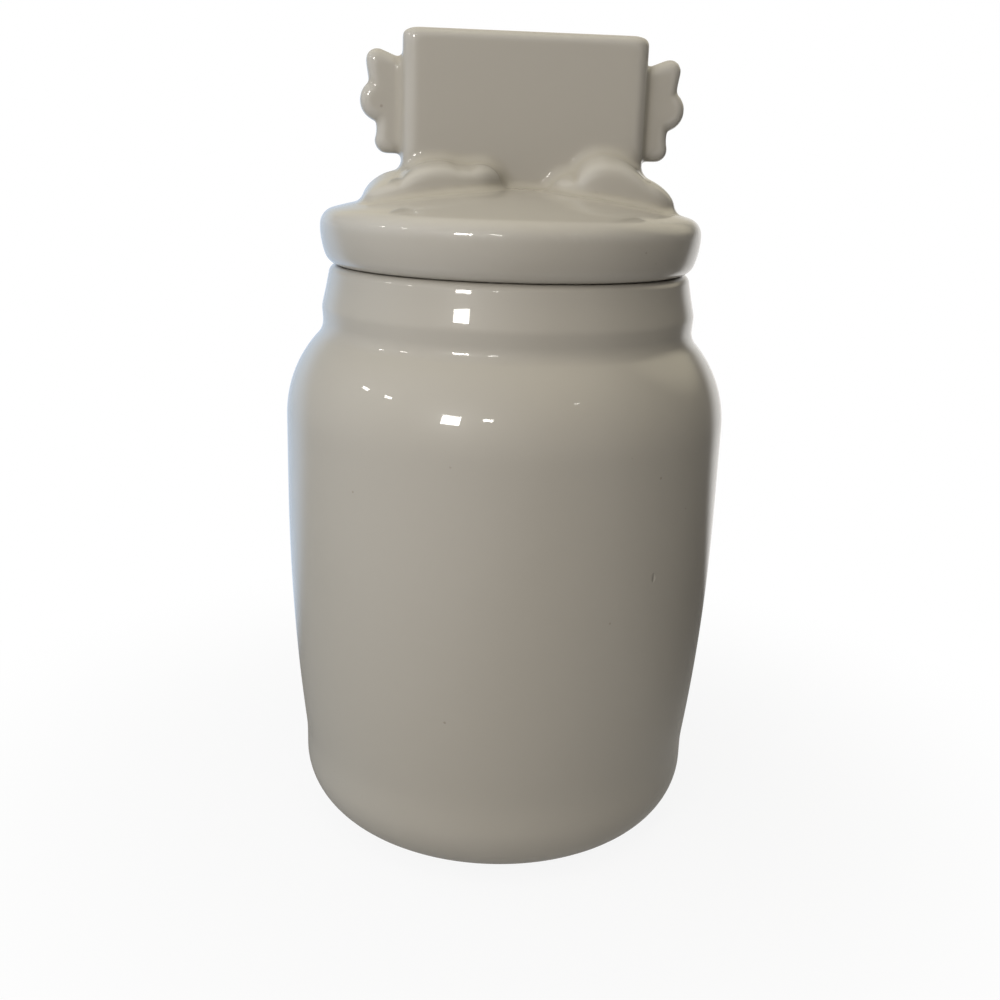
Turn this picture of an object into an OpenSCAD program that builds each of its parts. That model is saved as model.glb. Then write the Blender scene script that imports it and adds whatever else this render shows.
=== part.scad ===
// Glazed ceramic cookie jar with a drop-on lid. An upright winged tablet standing in
// low clouds on the lid serves as its handle. Millimetres, +Z up. The origin is the
// centre of the foot on the table, and the tablet's plain face looks along -Y.

/* [Jar body] */
// Largest outside diameter of the body
body_d = 160; // [140:1:190]
// How far the heel is drawn in from the body, on each side
heel_draw_in = 5.6; // [2:0.2:10]
// Radius of the rounded heel at the bottom of the wall
heel_r = 22; // [14:1:30]
// Height of the upright band above the rounded heel
heel_band_h = 5.5; // [3:0.5:14]
// Radius of the hollow curve between heel and body
waist_r = 65; // [30:5:160]
// Height over which the wall swells from heel to body
taper_h = 96; // [70:1:130]
// Height of the straight part of the body under the shoulder
straight_h = 31; // [10:1:60]
// Radius of the rounded shoulder
shoulder_r = 42; // [30:1:60]
// How far the shoulder steps in to the neck's ridge, on each side
shoulder_step = 13; // [8:0.1:20]
// Thickness of the cast wall
wall = 6; // [4:0.5:9]
// Height of the inside floor above the table
floor_h = 8; // [7:0.5:11]
// Width of the flat ring that the jar stands on
foot_w = 8; // [4:0.5:14]
// Depth of the recess inside the foot ring
foot_recess = 2.5; // [1:0.5:4]

/* [Neck] */
// Radius of the hollow between shoulder and neck band
neck_root_r = 8; // [4:0.5:14]
// Height of the neck band from its root up to its ridge
band_low_h = 4; // [3:0.5:12]
// Height of the neck band from its ridge up to the rim
band_high_h = 15; // [8:0.5:20]
// Outward lean of the band under its ridge, in degrees
band_low_lean = 4; // [1:0.5:8]
// Inward lean of the band over its ridge, in degrees
band_high_lean = 11; // [4:0.5:16]
// Radius of the ridge
ridge_r = 8; // [3:0.5:12]
// Thickness of the rim from the ridge to the mouth
rim_wall = 8.5; // [7:0.25:10]
// Radius of the rim's outer edge
rim_edge_r = 2; // [1:0.25:3]
// Radius of the rim's inner edge
mouth_edge_r = 1.5; // [0.5:0.25:2]

/* [Lid] */
// How far the lid stands out past the neck's ridge, on each side
lid_overhang = 0.5; // [0.2:0.1:4]
// Radius of the lid's lower edge
lid_edge_r = 4.5; // [2:0.25:5]
// Radius of the lid's bulging side
lid_side_r = 24.5; // [18:0.5:40]
// Lean of the lid's side at its lower and upper edge, in degrees
lid_side_lean = 12.5; // [6:0.5:18]
// Radius of the lid's upper edge
lid_crown_r = 8.5; // [4:0.5:11]
// Slope of the dome where it meets the upper edge, in degrees
dome_slope = 14; // [6:0.5:20]
// Thickness of the dome
lid_wall = 6.5; // [4:0.5:9]
// Radius between the lid's hollow ceiling and the locating collar
hollow_r = 6; // [2:0.5:10]
// Depth of the locating collar below the rim
collar_depth = 12; // [8:0.5:20]
// Thickness of the locating collar
collar_wall = 5; // [3:0.5:8]
// Gap between the locating collar and the mouth, on each side
collar_clearance = 1.5; // [0.5:0.1:3]

/* [Tablet] */
// Width of the tablet
tablet_w = 84; // [70:1:100]
// Height of the tablet above the top of the dome
tablet_h = 51; // [40:1:70]
// Thickness of the tablet
tablet_t = 20; // [15:0.5:28]
// Radius of the tablet's edges and corners
tablet_r = 5; // [2:0.25:6]
// How far right of the lid's middle the tablet was luted on by hand
tablet_shift = 3; // [-5:0.5:5]

/* [Wings] */
// Height of the wings' foot above the top of the dome
wing_lift = 10; // [8:0.2:14]
// Thickness of the wings
wing_t = 9; // [6:0.5:10]
// Radius of the wings' edges
wing_edge_r = 3.4; // [1.5:0.1:3.6]
// Reach of the wings' flat palm past the tablet, to the centre of its round ends
palm_out = 3.3; // [2:0.1:5]
// Height of the palm's upper end above the wings' foot
palm_up = 23; // [20:0.5:26]
// Radius of the palm's ends
palm_r = 5.6; // [4:0.1:6.5]
// Reach of the top feather's tip past the tablet
top_feather_out = 8.6; // [6:0.1:11]
// Height of the top feather's tip above the wings' foot
top_feather_up = 30.3; // [28:0.1:34]
// Radius of the top feather's tip
top_feather_r = 3.9; // [3.6:0.1:5]
// Reach of the top feather's heel past the tablet
top_heel_out = 5.5; // [4:0.1:8]
// Height of the top feather's heel above the wings' foot
top_heel_up = 21.7; // [19:0.1:24]
// Radius of the top feather's heel
top_heel_r = 5.6; // [4:0.1:7]
// Height of the top feather's root above the wings' foot
top_root_up = 24.2; // [22:0.1:26]
// Radius of the top feather's root
top_root_r = 6.4; // [5:0.1:8]
// Reach of the middle feather's tip past the tablet
middle_feather_out = 7.6; // [6:0.1:10]
// Height of the middle feather's tip above the wings' foot
middle_feather_up = 17.4; // [16:0.1:20]
// Radius of the middle feather's tip
middle_feather_r = 7; // [6:0.1:8]
// Reach of the bottom feather's tip past the tablet
bottom_feather_out = 5.3; // [3:0.1:7]
// Radius of the bottom feather's tip
bottom_feather_r = 4.2; // [3.6:0.1:6]

/* [Left cloud] */
// Reach of the cloud's inner end past the tablet's faces
left_depth_in = 9; // [6:0.5:14]
// Reach of the cloud's outer end past the tablet's faces
left_depth_out = 16; // [9:0.5:18]
// Distance of the inner puff's centre in from the tablet's side
left_inner_in = 26.5; // [23:0.5:29]
// Half length of the inner puff
left_inner_l = 8.5; // [7:0.5:11]
// Height of the inner puff's front ridge above the lid
left_inner_ridge = 7.4; // [5:0.2:9]
// Height that the inner puff's top slopes up to in the middle of the tablet's thickness
left_inner_top = 11; // [9:0.5:12]
// Distance of the middle puff's centre in from the tablet's side
left_middle_in = 13.5; // [11:0.5:15]
// Half length of the middle puff
left_middle_l = 12.5; // [10:0.5:14]
// Height of the middle puff's front ridge above the lid
left_middle_ridge = 9.4; // [7:0.2:10]
// Height that the middle puff's top slopes up to in the middle of the tablet's thickness
left_middle_top = 12; // [10:0.5:13]
// Distance of the outer puff's centre out from the tablet's side
left_outer_out = 1.5; // [0:0.5:3]
// Half length of the outer puff
left_outer_l = 12.5; // [9:0.5:13]
// Height of the outer puff's front ridge above the lid
left_outer_ridge = 3.8; // [2:0.2:6]
// Height of the outer puff's crown above the lid
left_outer_top = 8.5; // [6:0.5:9.5]

/* [Right cloud] */
// Reach of the cloud's inner end past the tablet's faces
right_depth_in = 12.5; // [8:0.5:15]
// Reach of the cloud's outer end past the tablet's faces
right_depth_out = 12; // [8:0.5:16]
// Distance of the inner puff's centre in from the tablet's side
right_inner_in = 23; // [21:0.5:26]
// Half length of the inner puff
right_inner_l = 14; // [11:0.5:15]
// Height of the inner puff's front ridge above the lid
right_inner_ridge = 2.4; // [2:0.2:5]
// Height that the inner puff's top slopes up to in the middle of the tablet's thickness
right_inner_top = 11.5; // [9:0.5:13]
// Distance of the middle puff's centre in from the tablet's side
right_middle_in = 15; // [14:0.5:18]
// Half length of the middle puff
right_middle_l = 12; // [9:0.5:13]
// Height of the middle puff's front ridge above the lid
right_middle_ridge = 9.6; // [7:0.2:11]
// Height that the middle puff's top slopes up to in the middle of the tablet's thickness
right_middle_top = 18.5; // [15:0.5:20]
// Distance of the outer puff's centre in from the tablet's side
right_outer_in = 0.5; // [-2:0.5:3]
// Half length of the outer puff
right_outer_l = 12.5; // [11:0.5:14]
// Height of the outer puff's front ridge above the lid
right_outer_ridge = 6.8; // [4:0.2:9]
// Height of the outer puff's crown above the lid
right_outer_top = 10; // [9:0.5:11]

/* [Hidden] */
glaze = [0.67, 0.65, 0.61];

// Largest turn, in degrees, and longest run between two neighbouring points of a round stretch
turn_step = 6;
run_step = 12;
// The same turn on the small edges of the wings
edge_step = 18;
// Sides of the turned forms, of the tablet's corners and of the feathers' ends
turned_sides = 128;
corner_sides = 32;
feather_sides = 28;

// Jar: the heading of a wall is 0 pointing outwards, 90 pointing up and 180 pointing in
body_r = body_d / 2;
heel_out_r = body_r - heel_draw_in;
foot_r = heel_out_r - heel_r;
taper_lean = 2 * atan(heel_draw_in / taper_h);
belly_r = taper_h / sin(taper_lean) - waist_r;
neck_r = body_r - shoulder_step;
band_low_len = (band_low_h - ridge_r * sin(band_low_lean)) / cos(band_low_lean);
band_high_len = (band_high_h - ridge_r * sin(band_high_lean) - rim_edge_r * (1 - sin(band_high_lean)))
    / cos(band_high_lean);
band_low_out = band_low_len * sin(band_low_lean) + ridge_r * (1 - cos(band_low_lean));
shoulder_turn = acos(1 - (shoulder_step + band_low_out + neck_root_r * (1 - cos(band_low_lean)))
    / (shoulder_r + neck_root_r));
shoulder_h = shoulder_r * sin(shoulder_turn)
    + neck_root_r * (sin(shoulder_turn) + sin(band_low_lean));
neck_z = heel_r + heel_band_h + taper_h + straight_h + shoulder_h;
jar_h = neck_z + band_low_h + band_high_h;
mouth_r = neck_r - rim_wall;
mouth_turn = acos(1 - (body_r - wall - mouth_r) / (shoulder_r + neck_root_r));
mouth_z = neck_z - shoulder_h + (shoulder_r + neck_root_r) * sin(mouth_turn);

// Lid: it rests on the jar's rim
seat_z = jar_h;
lid_r = neck_r + lid_overhang;
seat_out_r = lid_r - lid_side_r * (1 - cos(lid_side_lean)) - lid_edge_r * cos(lid_side_lean);
dome_edge_r = lid_r - lid_side_r * (1 - cos(lid_side_lean))
    - lid_crown_r * (cos(lid_side_lean) - sin(dome_slope));
dome_r = dome_edge_r / sin(dome_slope);
crown_z = seat_z + lid_edge_r * (1 - sin(lid_side_lean)) + 2 * lid_side_r * sin(lid_side_lean)
    + lid_crown_r * (cos(dome_slope) - sin(lid_side_lean));
dome_top = crown_z + dome_r * (1 - cos(dome_slope));
dome_centre_z = dome_top - dome_r;
ceiling_r = dome_r - lid_wall;
collar_out_r = mouth_r - collar_clearance;
collar_in_r = collar_out_r - collar_wall;
collar_tip_r = collar_wall / 2;
hollow_x = collar_in_r - hollow_r;
hollow_z = dome_centre_z + sqrt(pow(ceiling_r - hollow_r, 2) - pow(hollow_x, 2));
hollow_turn = atan2(hollow_z - dome_centre_z, hollow_x);

// Tablet and what is luted to it: the slab reaches under the dome before it is trimmed
tablet_root = 2 * tablet_r;
tablet_low_z = dome_height(tablet_w / 2 + abs(tablet_shift), tablet_t / 2) - tablet_root;
tablet_high_z = dome_top + tablet_h;
wing_z = dome_top + wing_lift;
feather_edge_r = min(wing_edge_r, wing_t / 2);

// Puffs of each cloud: centre from the tablet's middle, half length, height of ridge and top
left_puffs = [
    [tablet_w / 2 - left_inner_in, left_inner_l, left_inner_ridge, left_inner_top],
    [tablet_w / 2 - left_middle_in, left_middle_l, left_middle_ridge, left_middle_top],
    [tablet_w / 2 + left_outer_out, left_outer_l, left_outer_ridge, left_outer_top]
];
right_puffs = [
    [tablet_w / 2 - right_inner_in, right_inner_l, right_inner_ridge, right_inner_top],
    [tablet_w / 2 - right_middle_in, right_middle_l, right_middle_ridge, right_middle_top],
    [tablet_w / 2 - right_outer_in, right_outer_l, right_outer_ridge, right_outer_top]
];
// Half depth of each cloud at its inner and its outer end
left_depths = [tablet_t / 2 + left_depth_in, tablet_t / 2 + left_depth_out];
right_depths = [tablet_t / 2 + right_depth_in, tablet_t / 2 + right_depth_out];
// How deep a cloud's cast lump reaches under the dome before it is trimmed to it
cloud_root = lid_wall / 2;
// Power of the blend between neighbouring puffs: higher is a sharper valley
puff_blend = 3;
// Powers of a cloud's section and of its outline from above: 2 is an ellipse, higher is squarer
puff_square = 8;
plan_square = 4;
// Share of its depth that a cloud's front leans back by
front_lean = 0.16;
// Stations along a cloud, sides of its round back and size left at its two tips
cloud_stations = 28;
cloud_ring = 20;
tip_size = 0.01;

// Height of the dome's surface over a point of the lid
function dome_height(x, y) = dome_centre_z + sqrt(dome_r * dome_r - x * x - y * y);

// Points of an arc about a centre from one angle to another
function arc(centre, r, from, to, step = turn_step) =
    let (run = r * abs(to - from) * PI / 180)
    let (n = max(2, ceil(abs(to - from) / step), ceil(run / run_step)))
    [for (i = [0:n]) centre + r * [cos(from + (to - from) * i / n), sin(from + (to - from) * i / n)]];

function reversed(points) = [for (i = [len(points) - 1:-1:0]) points[i]];

// End of one leg of a wall: a straight run [length, 0] or a bend [radius, turn],
// where a positive turn bends to the left of the heading
function leg_centre(p, heading, leg) =
    p + sign(leg[1]) * leg[0] * [-sin(heading), cos(heading)];
function leg_points(p, heading, leg) =
    leg[1] == 0
    ? [p + leg[0] * [cos(heading), sin(heading)]]
    : let (side = sign(leg[1]) * 90, turned = heading - side)
        arc(leg_centre(p, heading, leg), leg[0], turned, turned + leg[1]);

// Points of a wall that starts at p with a heading and follows its legs in order
function walk(p, heading, legs, i = 0) =
    i == len(legs)
    ? [p]
    : let (run = leg_points(p, heading, legs[i]), n = len(run))
        concat(
            [p],
            n > 2 ? [for (k = [1:n - 2]) run[k]] : [],
            walk(run[n - 1], heading + legs[i][1], legs, i + 1)
        );

// Outside of the jar from the foot ring to the rim
function jar_outside() = walk([foot_r, 0], 0, [
    [heel_r, 90],
    [heel_band_h, 0],
    [waist_r, -taper_lean],
    [belly_r, taper_lean],
    [straight_h, 0],
    [shoulder_r, shoulder_turn],
    [neck_root_r, -shoulder_turn - band_low_lean],
    [band_low_len, 0],
    [ridge_r, band_low_lean + band_high_lean],
    [band_high_len, 0],
    [rim_edge_r, 90 - band_high_lean]
]);

// Inside of the jar from the floor to the rim, one wall thickness in from the outside
function jar_inside() = walk([foot_r, floor_h], 0, [
    [heel_r - wall, 90],
    [heel_band_h - (floor_h - wall), 0],
    [waist_r + wall, -taper_lean],
    [belly_r - wall, taper_lean],
    [straight_h, 0],
    [shoulder_r - wall, mouth_turn],
    [neck_root_r + wall, -mouth_turn],
    [jar_h - mouth_edge_r - mouth_z, 0],
    [mouth_edge_r, -90]
]);

// Outside of the lid from its seat over the side to the middle of the dome
function lid_outside() = walk([seat_out_r, seat_z], 0, [
    [lid_edge_r, 90 - lid_side_lean],
    [lid_side_r, 2 * lid_side_lean],
    [lid_crown_r, 90 - lid_side_lean - dome_slope],
    [dome_r, dome_slope]
]);

// Underside of the lid from the middle of its ceiling to the outside of the collar
function lid_underside() = concat(
    arc([0, dome_centre_z], ceiling_r, 90, hollow_turn),
    arc([hollow_x, hollow_z], hollow_r, hollow_turn, 0),
    arc([collar_in_r + collar_tip_r, seat_z - collar_depth + collar_tip_r], collar_tip_r, 180, 360),
    [[collar_out_r, seat_z]]
);

// Slip-cast vessel: foot ring, heel, body, shoulder and neck band in one wall
module jar() {
    color(glaze)
        rotate_extrude($fn = turned_sides)
            polygon(concat(
                jar_outside(),
                reversed(jar_inside()),
                [[0, floor_h]],
                [[0, foot_recess]],
                [[foot_r - foot_w - foot_recess, foot_recess]],
                [[foot_r - foot_w, 0]]
            ));
}

// Lid: dome and thick rim over a hollow, with a locating collar that drops into the mouth
module lid() {
    color(glaze)
        rotate_extrude($fn = turned_sides)
            polygon(concat(lid_outside(), lid_underside()));
}

// The lid's outer form without its hollow, to trim what is luted on top of it
module lid_form() {
    rotate_extrude($fn = turned_sides)
        polygon(concat(lid_outside(), [[0, seat_z]]));
}

// Place of what is luted on the lid
module on_lid() {
    translate([tablet_shift, 0, 0])
        children();
}

// Rounded slab that reaches down under the dome
module tablet_form() {
    hull()
        for (x = [-1, 1], y = [-1, 1], z = [tablet_low_z + tablet_r, tablet_high_z - tablet_r])
            translate([x * (tablet_w / 2 - tablet_r), y * (tablet_t / 2 - tablet_r), z])
                sphere(tablet_r, $fn = corner_sides);
}

// Upright tablet, trimmed to stand on the dome
module tablet() {
    color(glaze)
        difference() {
            on_lid() tablet_form();
            lid_form();
        }
}

// Disc with rounded edges, standing on edge, that forms the end of a feather
module feather_end(out, up, r) {
    translate([tablet_w / 2 + out, 0, wing_z + up])
        rotate([90, 0, 0])
            rotate_extrude($fn = feather_sides)
                let (edge_x = r - feather_edge_r, edge_y = wing_t / 2 - feather_edge_r)
                    polygon(concat(
                        [[0, -wing_t / 2]],
                        arc([edge_x, -edge_y], feather_edge_r, -90, 0, edge_step),
                        arc([edge_x, edge_y], feather_edge_r, 0, 90, edge_step),
                        [[0, wing_t / 2]]
                    ));
}

// Level feather from the tablet's side, as broad at its root as at its tip
module level_feather(out, up, r) {
    hull() {
        feather_end(0, up, r);
        feather_end(out, up, r);
    }
}

// Top feather: broad at its heel and root, with a raised tip
module top_feather() {
    hull() {
        feather_end(0, top_root_up, top_root_r);
        feather_end(top_heel_out, top_heel_up, top_heel_r);
        feather_end(top_feather_out, top_feather_up, top_feather_r);
    }
}

// Flat palm that the feathers grow out of
module palm() {
    hull()
        for (up = [palm_r, palm_up])
            feather_end(palm_out, up, palm_r);
}

// Right wing of three feathers on a palm, trimmed to the side of the tablet
module wing_form() {
    difference() {
        union() {
            palm();
            top_feather();
            level_feather(middle_feather_out, middle_feather_up, middle_feather_r);
            level_feather(bottom_feather_out, bottom_feather_r, bottom_feather_r);
        }
        tablet_form();
    }
}

module right_wing() {
    color(glaze)
        on_lid()
            wing_form();
}

module left_wing() {
    color(glaze)
        on_lid()
            mirror([1, 0, 0])
                wing_form();
}

// Blend of the puffs' round outlines at a place along the cloud, for one of their heights
function puff_share(x, p) = sqrt(max(0, 1 - pow((x - p[0]) / p[1], 2)));
function puff_size(puffs, x, which) =
    let (powers = [for (p = puffs) pow(p[which] * puff_share(x, p), puff_blend)])
    max(tip_size, pow(sum_of(powers), 1 / puff_blend));
function sum_of(values, i = 0) = i == len(values) ? 0 : values[i] + sum_of(values, i + 1);

// Places along the cloud, closer together towards its two ends
function station_x(from, to, i) = (from + to) / 2 - (to - from) / 2 * cos(180 * i / cloud_stations);

// Sine or cosine flattened to the section's power
function squared(s) = sign(s) * pow(abs(s), 2 / puff_square);

// Half depth of the cloud at a place along it, from its inner to its outer end
function cloud_depth(depths, from, to, x) =
    let (along = (x - from) / (to - from), share = max(0, 1 - pow(abs(2 * along - 1), plan_square)))
    max(tip_size, (depths[0] + (depths[1] - depths[0]) * along) * pow(share, 1 / plan_square));

// Section of the cloud at one station: a steep front up to its ridge, then a slope up to its top,
// ending under the dome on both sides
function cloud_section(puffs, side, x, d) =
    let (ridge = puff_size(puffs, x, 2), top = puff_size(puffs, x, 3), lid_x = tablet_shift + side * x)
    let (low = dome_height(lid_x, d) - cloud_root)
    concat(
        [[x, d, low]],
        [for (k = [0:cloud_ring])
            let (out = squared(cos(180 * k / cloud_ring)), up = squared(sin(180 * k / cloud_ring)))
            let (y = d * out * (1 - front_lean * up))
            [x, y, dome_height(lid_x, y) + ridge * up + (top - ridge) * (1 - abs(out))]],
        [[x, -d, low]]
    );

// Lump of puffs lofted along the foot of the tablet, drawn for the right side
module cloud_lump(puffs, depths, side) {
    from = min([for (p = puffs) p[0] - p[1]]);
    to = max([for (p = puffs) p[0] + p[1]]);
    size = cloud_ring + 3;
    points = [for (i = [0:cloud_stations])
        let (x = station_x(from, to, i))
        each cloud_section(puffs, side, x, cloud_depth(depths, from, to, x))];
    skin = [for (i = [0:cloud_stations - 1], k = [0:size - 1])
        let (a = i * size + k, b = i * size + (k + 1) % size)
        each [[a, b, a + size], [b, b + size, a + size]]];
    last = cloud_stations * size;
    caps = [
        each [for (k = [1:size - 2]) [0, k + 1, k]],
        each [for (k = [1:size - 2]) [last, last + k, last + k + 1]]
    ];
    polyhedron(points, concat(skin, caps), convexity = 6);
}

// Clouds, each trimmed to hug its end of the tablet and to lie on the dome
module right_cloud() {
    color(glaze)
        difference() {
            on_lid() cloud_lump(right_puffs, right_depths, 1);
            on_lid() tablet_form();
            lid_form();
        }
}

module left_cloud() {
    color(glaze)
        difference() {
            on_lid() mirror([1, 0, 0]) cloud_lump(left_puffs, left_depths, -1);
            on_lid() tablet_form();
            lid_form();
        }
}

jar();
lid();
tablet();
left_wing();
right_wing();
left_cloud();
right_cloud();
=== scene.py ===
"""Looks of a glazed ceramic cookie jar with a winged tablet standing in clouds on its lid.

Lengths are in metres in the jar's own frame: +Z is up, the origin lies under the middle of
the foot, and the tablet's plain face looks along -Y.
"""

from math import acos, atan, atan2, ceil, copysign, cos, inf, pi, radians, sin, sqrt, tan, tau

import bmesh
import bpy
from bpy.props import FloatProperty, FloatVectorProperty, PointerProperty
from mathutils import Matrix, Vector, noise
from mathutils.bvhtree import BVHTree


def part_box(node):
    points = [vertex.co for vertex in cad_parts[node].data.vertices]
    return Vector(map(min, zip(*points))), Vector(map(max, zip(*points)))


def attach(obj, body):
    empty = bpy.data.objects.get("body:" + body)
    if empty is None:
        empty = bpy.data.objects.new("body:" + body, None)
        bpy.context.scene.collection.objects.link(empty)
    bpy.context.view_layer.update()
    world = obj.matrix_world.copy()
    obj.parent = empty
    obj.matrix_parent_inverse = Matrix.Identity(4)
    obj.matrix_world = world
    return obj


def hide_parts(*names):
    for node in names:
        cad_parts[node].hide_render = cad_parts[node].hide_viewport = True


bl_info = {
    "name": "Winged Cookie Jar",
    "version": (1, 0, 0),
    "blender": (4, 5, 0),
    "location": "3D View > Sidebar > Cookie Jar",
    "description": "Models and glazes a ceramic cookie jar whose lid carries a winged tablet",
    "category": "Object",
}

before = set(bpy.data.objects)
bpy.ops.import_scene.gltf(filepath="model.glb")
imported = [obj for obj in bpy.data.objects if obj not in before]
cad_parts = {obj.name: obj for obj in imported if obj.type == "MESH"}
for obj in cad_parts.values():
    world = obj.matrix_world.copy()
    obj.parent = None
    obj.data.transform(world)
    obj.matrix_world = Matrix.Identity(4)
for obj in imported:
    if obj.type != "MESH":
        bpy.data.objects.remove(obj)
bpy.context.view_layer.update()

RIM_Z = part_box("jar")[1].z
DOME_TOP_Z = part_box("lid")[1].z
TABLET_TOP_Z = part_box("tablet")[1].z

# Longest run and largest turn between neighbouring points of a drawn wall, and steps of a full turn
RUN_STEP = 0.0022
TURN_STEP = radians(5.0)
WHEEL_STEPS = 216
QUARTER = pi / 2.0
# Points closer than this are one point
SAME_POINT = 1e-6

# Working forms that the lid is luted together from
DOME_FORM = "form_dome"
TABLET_FORM = "form_tablet"
WING_FORM = "form_wing_{}"
CLOUD_FORM = "form_cloud_{}"
SIDES = {"left": -1.0, "right": 1.0}

JAR_PIECE = "jar_glazed"
LID_PIECE = "lid_glazed"
# Hollowness of the skins, from which the glaze colour paints shade in the hollows and a highlight on the
# rounded edges
HOLLOWNESS_LAYER = "skin_hollowness"

# What the sizes of a disc that a wing's plate is spanned over, and of a cloud's puff, stand for
DISC = "Reach past the tablet's side, height above the wings' foot, and radius"
PUFF = "Place out from the tablet's side, half length, and heights of front ridge and top"


def length(name, millimetres, description):
    """A size that a user may change, written in millimetres and kept in metres."""
    return FloatProperty(
        name=name, description=description, default=millimetres / 1000.0, unit="LENGTH", precision=4
    )


def lengths(name, description, *millimetres):
    """A row of sizes that a user may change, written in millimetres and kept in metres."""
    sizes = [size / 1000.0 for size in millimetres]
    return FloatVectorProperty(
        name=name, description=description, default=sizes, size=len(sizes), unit="LENGTH", precision=4
    )


def angle(name, degrees, description):
    """An angle that a user may change, written in degrees."""
    return FloatProperty(name=name, description=description, default=radians(degrees), subtype="ANGLE")


def share_of(name, share, description):
    """A share between none and all that a user may change."""
    return FloatProperty(
        name=name, description=description, default=share, min=0.0, max=1.0, subtype="FACTOR"
    )


def colour(name, red, green, blue, description):
    """A colour that a user may change."""
    shade = (red, green, blue, 1.0)
    return FloatVectorProperty(
        name=name, description=description, default=shade, size=4, min=0.0, max=1.0, subtype="COLOR"
    )


class JarSizes(bpy.types.PropertyGroup):
    """Sizes of the cast vessel."""

    body_d: length("Body diameter", 160.0, "Largest outside diameter of the body")
    heel_draw_in: length("Heel draw-in", 5.6, "How far the heel is drawn in from the body")
    heel_r: length("Heel radius", 22.0, "Radius of the rounded heel")
    heel_band_h: length("Heel band", 5.5, "Height of the upright band above the heel")
    waist_r: length("Waist radius", 65.0, "Radius of the hollow curve between heel and body")
    taper_h: length("Taper height", 96.0, "Height over which the wall swells to the body")
    straight_h: length("Straight height", 31.0, "Height of the straight part under the shoulder")
    shoulder_r: length("Shoulder radius", 42.0, "Radius of the rounded shoulder")
    shoulder_step: length("Shoulder step", 13.0, "Step in from the body to the neck's ridge")
    wall: length("Wall", 6.0, "Thickness of the cast wall")
    floor_h: length("Floor height", 8.0, "Height of the inside floor above the table")
    foot_w: length("Foot width", 8.0, "Width of the flat ring that the jar stands on")
    foot_recess: length("Foot recess", 2.5, "Depth of the recess inside the foot ring")
    foot_edge_r: length("Foot edge radius", 0.8, "Softening of the foot ring's inner edges")
    neck_root_r: length("Neck root radius", 8.0, "Radius of the hollow under the neck band")
    band_low_h: length("Lower band height", 4.0, "Height of the neck band under its ridge")
    band_high_h: length("Upper band height", 15.0, "Height of the neck band over its ridge")
    band_low_lean: angle("Lower band lean", 4.0, "Outward lean of the band under its ridge")
    band_high_lean: angle("Upper band lean", 11.0, "Inward lean of the band under the rim")
    band_hollow: angle("Band hollow", 2.0, "How much more the band leans just over its ridge")
    band_foot_h: length("Band foot", 4.5, "Length of that more leaning stretch")
    ridge_r: length("Ridge radius", 8.0, "Radius of the neck's ridge")
    rim_wall: length("Rim wall", 8.5, "Thickness of the rim from the ridge to the mouth")
    rim_edge_r: length("Rim edge radius", 3.0, "Radius of the rim's outer edge")
    mouth_edge_r: length("Mouth edge radius", 1.5, "Radius of the rim's inner edge")


class LidSizes(bpy.types.PropertyGroup):
    """Sizes of the domed lid."""

    overhang: length("Overhang", 0.5, "How far the lid stands out past the neck's ridge")
    edge_r: length("Lower edge radius", 5.6, "Radius of the lid's lower edge")
    side_r: length("Side radius", 27.93, "Radius of the lid's bulging side")
    low_lean: angle("Lower side lean", 20.0, "Outward lean of the side at its lower edge")
    high_lean: angle("Upper side lean", 1.0, "Inward lean of the side at its upper edge")
    crown_r: length("Upper edge radius", 6.0, "Radius of the lid's upper edge")
    dome_slope: angle("Dome slope", 15.5, "Slope of the dome where it meets the upper edge")
    wall: length("Dome thickness", 6.5, "Thickness of the dome")
    hollow_r: length("Hollow radius", 6.0, "Radius between the ceiling and the collar")
    collar_depth: length("Collar depth", 12.0, "Depth of the locating collar below the rim")
    collar_wall: length("Collar wall", 5.0, "Thickness of the locating collar")
    collar_clearance: length("Collar clearance", 1.5, "Gap between collar and mouth")
    collar_root_r: length("Collar root radius", 1.0, "Radius between the collar and the seat")


class TabletSizes(bpy.types.PropertyGroup):
    """Sizes and place of the tablet."""

    width: length("Tablet width", 84.0, "Width of the tablet")
    thickness: length("Tablet thickness", 20.0, "Thickness of the tablet")
    edge_r: length("Tablet edge radius", 5.0, "Radius of the tablet's edges and corners")
    top_r: length("Tablet top rounding", 2.6, "Height of the rounding along the tablet's top edges")
    root: length("Tablet root", 5.3, "How far the tablet reaches under the top of the dome")
    shift: length("Tablet shift", 3.0, "How far the tablet stands to the right of the lid's middle")


class WingSizes(bpy.types.PropertyGroup):
    """Sizes of the wings, whose plates are spanned over discs."""

    lift: length("Lift", 10.0, "Height of the wings' foot above the top of the dome")
    thickness: length("Thickness", 9.0, "Thickness of the wings")
    edge_r: length("Edge radius", 3.4, "Radius of the wings' edges")
    palm: lengths("Palm", DISC, 3.3, 23.0, 5.6)
    top_tip: lengths("Top feather's tip", DISC, 8.6, 30.3, 3.9)
    top_heel: lengths("Top feather's heel", DISC, 5.5, 21.7, 5.6)
    top_root: lengths("Top feather's root", DISC, 0.0, 24.2, 6.4)
    middle: lengths("Middle feather", DISC, 7.6, 17.4, 7.0)
    bottom: lengths("Bottom feather", DISC, 5.3, 4.2, 4.2)


class LeftCloudSizes(bpy.types.PropertyGroup):
    """Sizes of the left cloud and its puffs."""

    depth_in: length("Inner depth", 12.5, "Reach of its inner end past the tablet's faces")
    depth_out: length("Outer depth", 17.5, "Reach of its outer end past the tablet's faces")
    lean: share_of("Lean", 0.06, "Share of its depth that its front leans back by")
    inner: lengths("Inner puff", PUFF, -26.5, 8.5, 7.5, 9.8)
    middle: lengths("Middle puff", PUFF, -11.5, 12.5, 9.3, 11.4)
    outer: lengths("Outer puff", PUFF, 1.5, 12.5, 5.0, 8.5)


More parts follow.
